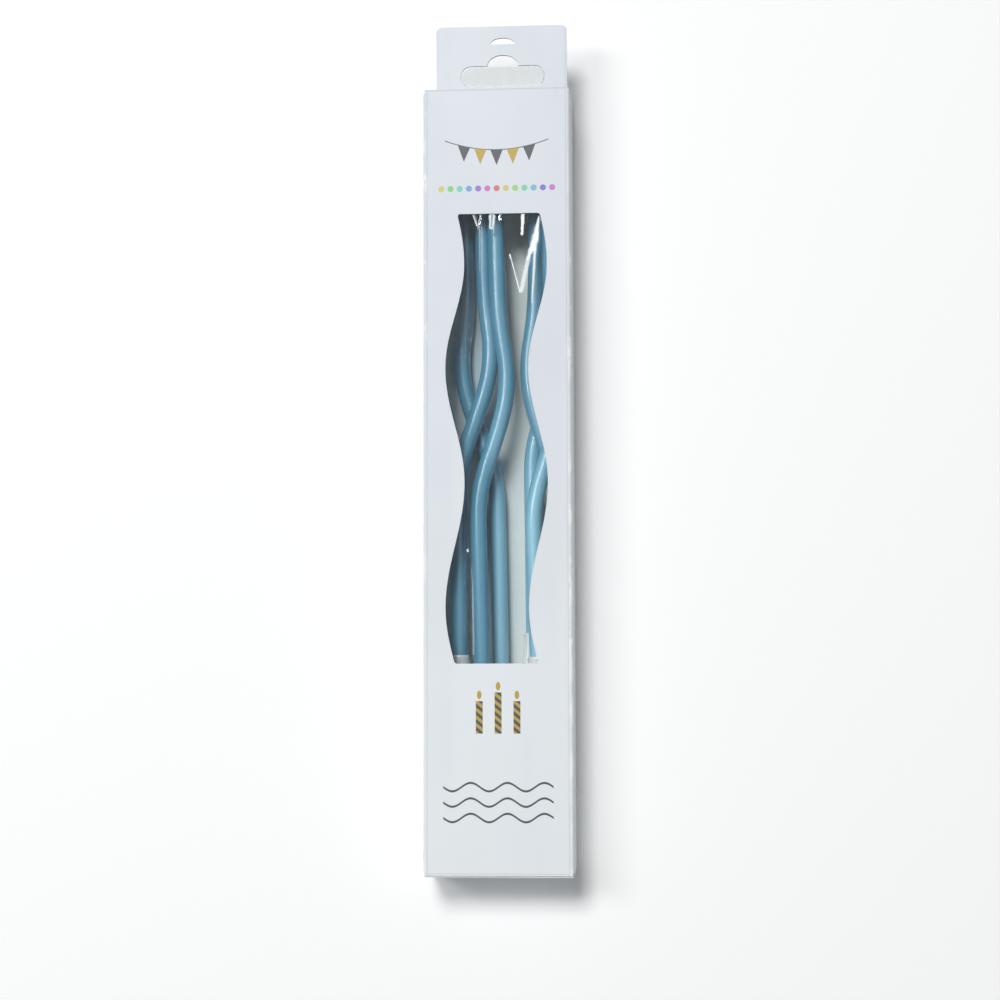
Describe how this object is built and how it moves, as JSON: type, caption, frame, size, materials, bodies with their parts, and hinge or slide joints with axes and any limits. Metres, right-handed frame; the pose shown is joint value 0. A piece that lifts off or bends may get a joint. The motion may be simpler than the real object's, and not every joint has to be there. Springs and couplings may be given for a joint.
{
  "type": "curved candle set in a hanging window carton",
  "caption": "Hanging card carton with a wavy film window, tuck lids at both ends and S-curved candles in plastic spike holders inside.",
  "frame": {"origin": "middle of the bounding box, on the surface that the back panel lies on", "axes": "+Z out of the window panel, +Y along the carton to the hang tab, +X to the right seen from the front"},
  "size_m": [0.0414, 0.2378, 0.02],
  "materials": {
    "card": "gloss-laminated white card",
    "card_inside": "uncoated white card",
    "film": "clear film",
    "wax": "satin blue wax",
    "wick": "braided cotton",
    "holder": "translucent moulded plastic"
  },
  "bodies": {
    "carton": {"front_panel": "card", "back_panel": "card", "left_side_panel": "card", "right_side_panel": "card", "glue_flap": "card_inside", "hang_tab_back_ply": "card_inside", "window_film": "film"},
    "slot_flap": {"slot_flap": "card_inside"},
    "top_lid": {"top_lid": "card"},
    "top_tongue": {"top_tongue": "card"},
    "top_dust_flap_left": {"top_dust_flap_left": "card"},
    "top_dust_flap_right": {"top_dust_flap_right": "card"},
    "bottom_lid": {"bottom_lid": "card"},
    "bottom_tongue": {"bottom_tongue": "card"},
    "bottom_dust_flap_left": {"bottom_dust_flap_left": "card"},
    "bottom_dust_flap_right": {"bottom_dust_flap_right": "card"},
    "candle_1": {"candle_1_wax": "wax", "candle_1_wick": "wick", "candle_1_holder": "holder"},
    "candle_2": {"candle_2_wax": "wax", "candle_2_wick": "wick", "candle_2_holder": "holder"},
    "candle_3": {"candle_3_wax": "wax", "candle_3_wick": "wick", "candle_3_holder": "holder"},
    "candle_4": {"candle_4_wax": "wax", "candle_4_wick": "wick", "candle_4_holder": "holder"},
    "candle_5": {"candle_5_wax": "wax", "candle_5_wick": "wick", "candle_5_holder": "holder"},
    "candle_6": {"candle_6_wax": "wax", "candle_6_wick": "wick", "candle_6_holder": "holder"}
  },
  "joints": [
    {"name": "slot_flap_crease", "type": "hinge", "parent": "carton", "child": "slot_flap", "pos_m": [0.0018, 0.1015, 0.0191], "axis": [-1, 0, 0], "range_deg": [0, 80]},
    {"name": "top_lid_crease", "type": "hinge", "parent": "carton", "child": "top_lid", "pos_m": [0, 0.10065, 0.00045], "axis": [-1, 0, 0], "range_deg": [0, 90]},
    {"name": "top_tongue_crease", "type": "hinge", "parent": "top_lid", "child": "top_tongue", "pos_m": [0, 0.10065, 0.0188], "axis": [-1, 0, 0], "range_deg": [0, 22.5]},
    {"name": "top_flap_left_crease", "type": "hinge", "parent": "carton", "child": "top_dust_flap_left", "pos_m": [-0.0203, 0.0999, 0.01], "axis": [0, 0, 1], "range_deg": [0, 72]},
    {"name": "top_flap_right_crease", "type": "hinge", "parent": "carton", "child": "top_dust_flap_right", "pos_m": [0.0203, 0.0999, 0.01], "axis": [0, 0, -1], "range_deg": [0, 72]},
    {"name": "bottom_lid_crease", "type": "hinge", "parent": "carton", "child": "bottom_lid", "pos_m": [0, -0.11845, 0.01955], "axis": [-1, 0, 0], "range_deg": [0, 90]},
    {"name": "bottom_tongue_crease", "type": "hinge", "parent": "bottom_lid", "child": "bottom_tongue", "pos_m": [0, -0.11845, 0.00075], "axis": [-1, 0, 0], "range_deg": [0, 22.5]},
    {"name": "bottom_flap_left_crease", "type": "hinge", "parent": "carton", "child": "bottom_dust_flap_left", "pos_m": [-0.0203, -0.1177, 0.01], "axis": [0, 0, -1], "range_deg": [0, 72]},
    {"name": "bottom_flap_right_crease", "type": "hinge", "parent": "carton", "child": "bottom_dust_flap_right", "pos_m": [0.0203, -0.1177, 0.01], "axis": [0, 0, 1], "range_deg": [0, 72]},
    {"name": "candle_1_slide", "type": "slide", "parent": "carton", "child": "candle_1", "axis": [0, 1, 0], "range_m": [-0.012, 0.005]},
    {"name": "candle_2_slide", "type": "slide", "parent": "carton", "child": "candle_2", "axis": [0, 1, 0], "range_m": [-0.012, 0.005]},
    {"name": "candle_3_slide", "type": "slide", "parent": "carton", "child": "candle_3", "axis": [0, 1, 0], "range_m": [-0.012, 0.005]},
    {"name": "candle_4_slide", "type": "slide", "parent": "carton", "child": "candle_4", "axis": [0, 1, 0], "range_m": [-0.012, 0.005]},
    {"name": "candle_5_slide", "type": "slide", "parent": "carton", "child": "candle_5", "axis": [0, 1, 0], "range_m": [-0.012, 0.005]},
    {"name": "candle_6_slide", "type": "slide", "parent": "carton", "child": "candle_6", "axis": [0, 1, 0], "range_m": [-0.012, 0.005]}
  ],
  "couplings": [
    {"joint": "top_tongue_crease", "follows": "top_lid_crease", "ratio": 0.25},
    {"joint": "top_flap_left_crease", "follows": "top_lid_crease", "ratio": 0.8},
    {"joint": "top_flap_right_crease", "follows": "top_lid_crease", "ratio": 0.8},
    {"joint": "bottom_tongue_crease", "follows": "bottom_lid_crease", "ratio": 0.25},
    {"joint": "bottom_flap_left_crease", "follows": "bottom_lid_crease", "ratio": 0.8},
    {"joint": "bottom_flap_right_crease", "follows": "bottom_lid_crease", "ratio": 0.8},
    {"joint": "candle_2_slide", "follows": "candle_1_slide", "ratio": 1},
    {"joint": "candle_3_slide", "follows": "candle_1_slide", "ratio": 1},
    {"joint": "candle_4_slide", "follows": "candle_1_slide", "ratio": 1},
    {"joint": "candle_5_slide", "follows": "candle_1_slide", "ratio": 1},
    {"joint": "candle_6_slide", "follows": "candle_1_slide", "ratio": 1}
  ]
}
